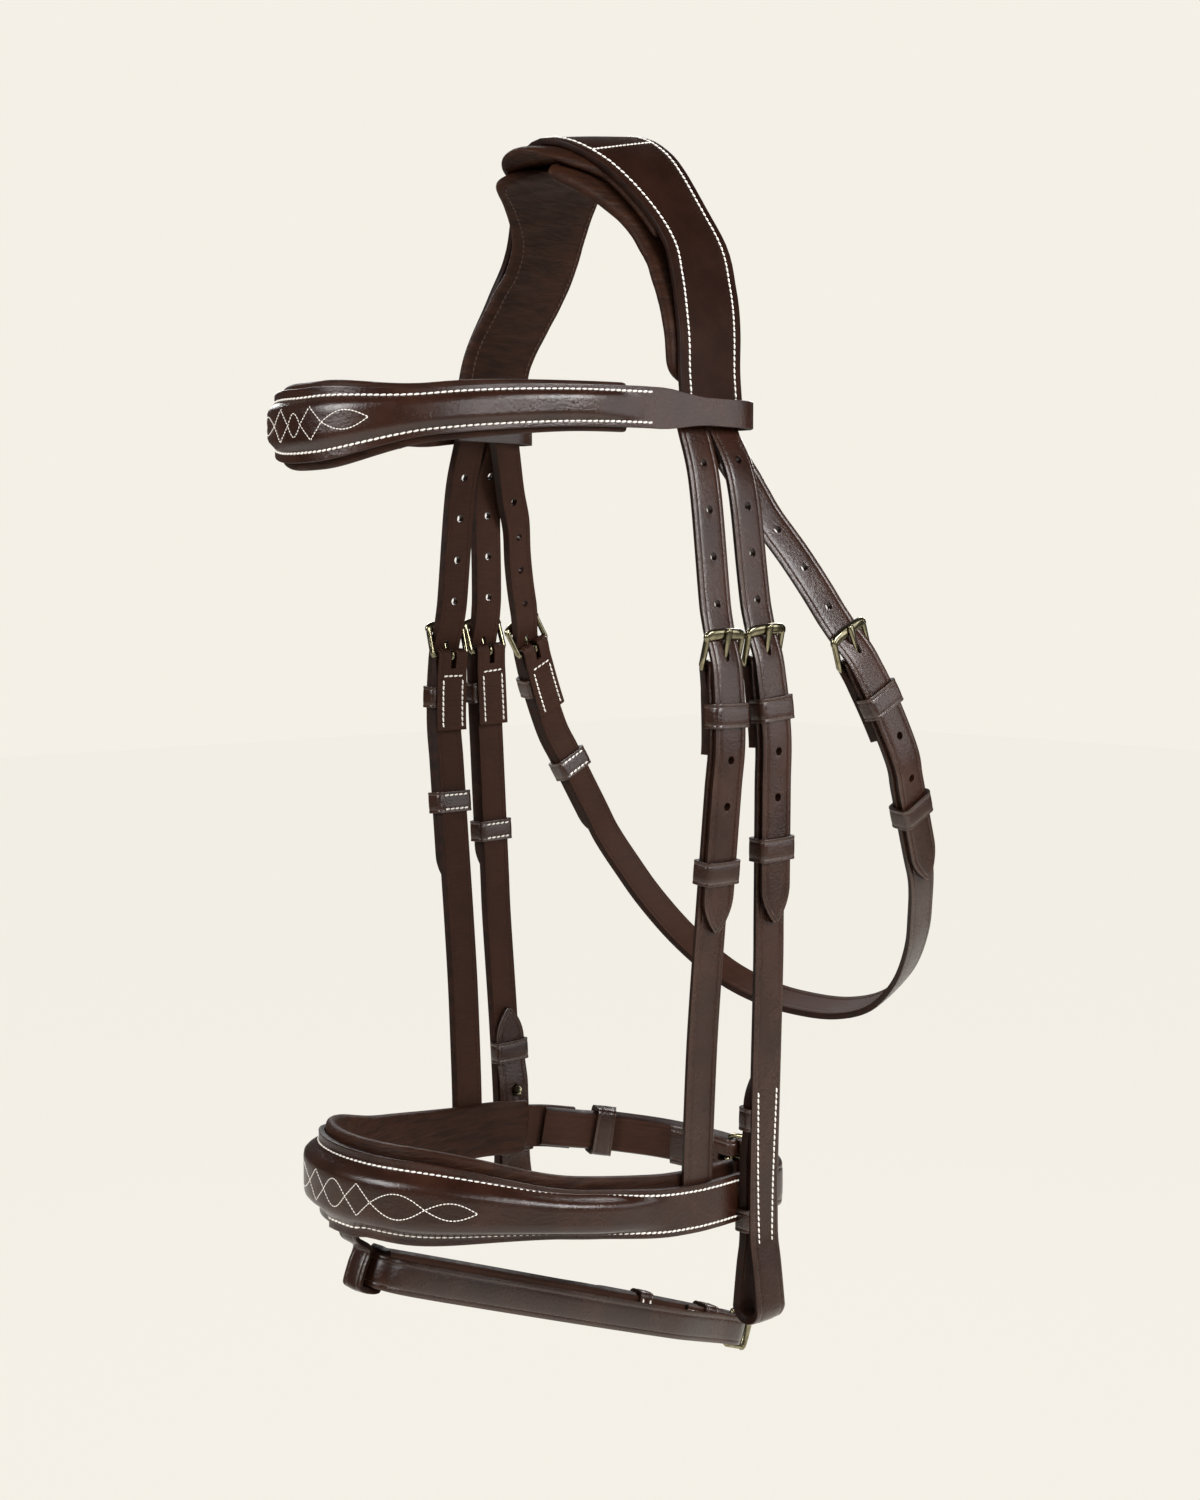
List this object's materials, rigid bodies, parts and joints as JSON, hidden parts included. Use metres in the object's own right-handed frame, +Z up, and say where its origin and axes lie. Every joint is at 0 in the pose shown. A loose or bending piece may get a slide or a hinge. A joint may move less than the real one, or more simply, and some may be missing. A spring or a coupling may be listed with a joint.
{
  "type": "jumping bridle",
  "caption": "Leather jumping bridle with a shaped padded crown, browband and flash noseband, buckled cheekpieces, throatlash and hook-stud bit loops.",
  "frame": {"origin": "the middle of the crown's underside, where the bridle rests on the horse's poll", "axes": "+Z up, the horse faces -Y, +X is the horse's left side"},
  "size_m": [0.2372, 0.3097, 0.5758],
  "materials": {
    "bridle_leather": "dark brown, smooth and slightly waxed",
    "lining_leather": "dark brown, soft and matt",
    "buckle_metal": "polished stainless steel",
    "core_felt": "grey felt, hidden"
  },
  "bodies": {
    "headpiece": {"browband_core": "core_felt", "browband_leather": "bridle_leather", "browband_padding": "lining_leather", "buckle_frame_cheek_left": "buckle_metal", "buckle_frame_cheek_right": "buckle_metal", "buckle_frame_nose_left": "buckle_metal", "buckle_frame_nose_right": "buckle_metal", "buckle_frame_rear": "buckle_metal", "buckle_frame_throat_left": "buckle_metal", "buckle_frame_throat_right": "buckle_metal", "cheekpiece_left": "bridle_leather", "cheekpiece_right": "bridle_leather", "crown_leather": "bridle_leather", "crown_padding": "lining_leather", "flash_loop": "bridle_leather", "hook_stud_left": "buckle_metal", "hook_stud_right": "buckle_metal", "keeper_billet_left": "bridle_leather", "keeper_billet_right": "bridle_leather", "keeper_rear": "bridle_leather", "keeper_upper_cheek_left": "bridle_leather", "keeper_upper_cheek_right": "bridle_leather", "keeper_upper_nose_left": "bridle_leather", "keeper_upper_nose_right": "bridle_leather", "keeper_upper_throat_left": "bridle_leather", "keeper_upper_throat_right": "bridle_leather", "noseband_chape_rear": "bridle_leather", "noseband_cheek_left": "bridle_leather", "noseband_cheek_right": "bridle_leather", "noseband_core": "core_felt", "noseband_leather": "bridle_leather", "noseband_padding": "lining_leather", "noseband_point_rear": "bridle_leather", "point_cheek_left": "bridle_leather", "point_cheek_right": "bridle_leather", "point_nose_left": "bridle_leather", "point_nose_right": "bridle_leather", "point_throat_left": "bridle_leather", "point_throat_right": "bridle_leather", "side_pad_left": "lining_leather", "side_pad_right": "lining_leather", "throatlash": "bridle_leather"},
    "prong_nose_left": {"buckle_prong_nose_left": "buckle_metal"},
    "prong_nose_right": {"buckle_prong_nose_right": "buckle_metal"},
    "prong_cheek_left": {"buckle_prong_cheek_left": "buckle_metal"},
    "prong_cheek_right": {"buckle_prong_cheek_right": "buckle_metal"},
    "prong_throat_left": {"buckle_prong_throat_left": "buckle_metal"},
    "prong_throat_right": {"buckle_prong_throat_right": "buckle_metal"},
    "prong_rear": {"buckle_prong_rear": "buckle_metal"},
    "keeper_nose_left": {"keeper_sliding_nose_left": "bridle_leather"},
    "keeper_nose_right": {"keeper_sliding_nose_right": "bridle_leather"},
    "keeper_cheek_left": {"keeper_sliding_cheek_left": "bridle_leather"},
    "keeper_cheek_right": {"keeper_sliding_cheek_right": "bridle_leather"},
    "keeper_throat_left": {"keeper_sliding_throat_left": "bridle_leather"},
    "keeper_throat_right": {"keeper_sliding_throat_right": "bridle_leather"},
    "flash": {"flash_strap": "bridle_leather", "buckle_frame_flash": "buckle_metal", "keeper_flash_1": "bridle_leather", "keeper_flash_2": "bridle_leather"},
    "prong_flash": {"buckle_prong_flash": "buckle_metal"}
  },
  "joints": [
    {"name": "prong_hinge_nose_left", "type": "hinge", "parent": "headpiece", "child": "prong_nose_left", "pos_m": [0.0894, -0.001, -0.2208], "axis": [0, 1, 0], "range_deg": [0, 8]},
    {"name": "prong_hinge_nose_right", "type": "hinge", "parent": "headpiece", "child": "prong_nose_right", "pos_m": [-0.0894, -0.001, -0.2208], "axis": [0, -1, 0], "range_deg": [0, 8]},
    {"name": "prong_hinge_cheek_left", "type": "hinge", "parent": "headpiece", "child": "prong_cheek_left", "pos_m": [0.0904, 0.02304, -0.219], "axis": [-0.0051, 0.9971, 0.0755], "range_deg": [0, 8]},
    {"name": "prong_hinge_cheek_right", "type": "hinge", "parent": "headpiece", "child": "prong_cheek_right", "pos_m": [-0.0904, 0.02304, -0.219], "axis": [-0.0051, -0.9971, -0.0755], "range_deg": [0, 8]},
    {"name": "prong_hinge_throat_left", "type": "hinge", "parent": "headpiece", "child": "prong_throat_left", "pos_m": [0.10589, 0.06463, -0.219], "axis": [0, 0.8944, 0.4472], "range_deg": [0, 8]},
    {"name": "prong_hinge_throat_right", "type": "hinge", "parent": "headpiece", "child": "prong_throat_right", "pos_m": [-0.10589, 0.06463, -0.219], "axis": [0, -0.8944, -0.4472], "range_deg": [0, 8]},
    {"name": "prong_hinge_rear", "type": "hinge", "parent": "headpiece", "child": "prong_rear", "pos_m": [0.005, 0.09488, -0.46298], "axis": [-0.0068, 0.0003, 1], "range_deg": [0, 8]},
    {"name": "keeper_slide_nose_left", "type": "slide", "parent": "headpiece", "child": "keeper_nose_left", "axis": [-0.0954, 0, -0.9954], "range_m": [-0.03, 0.02]},
    {"name": "keeper_slide_nose_right", "type": "slide", "parent": "headpiece", "child": "keeper_nose_right", "axis": [0.0954, 0, -0.9954], "range_m": [-0.015, 0.03]},
    {"name": "keeper_slide_cheek_left", "type": "slide", "parent": "headpiece", "child": "keeper_cheek_left", "axis": [-0.0297, 0.0282, -0.9992], "range_m": [-0.02, 0.025]},
    {"name": "keeper_slide_cheek_right", "type": "slide", "parent": "headpiece", "child": "keeper_cheek_right", "axis": [0.0297, 0.0282, -0.9992], "range_m": [-0.03, 0.018]},
    {"name": "keeper_slide_throat_left", "type": "slide", "parent": "headpiece", "child": "keeper_throat_left", "axis": [-0.1508, 0.4421, -0.8842], "range_m": [-0.01, 0.018]},
    {"name": "keeper_slide_throat_right", "type": "slide", "parent": "headpiece", "child": "keeper_throat_right", "axis": [0.1508, 0.4421, -0.8842], "range_m": [-0.006, 0.02]},
    {"name": "flash_swing", "type": "hinge", "parent": "headpiece", "child": "flash", "pos_m": [0, -0.117, -0.47], "axis": [1, 0, 0], "range_deg": [-8, 8]},
    {"name": "prong_hinge_flash", "type": "hinge", "parent": "flash", "child": "prong_flash", "pos_m": [-0.00567, 0.10515, -0.55217], "axis": [0, 0.3469, 0.9379], "range_deg": [0, 8]}
  ]
}
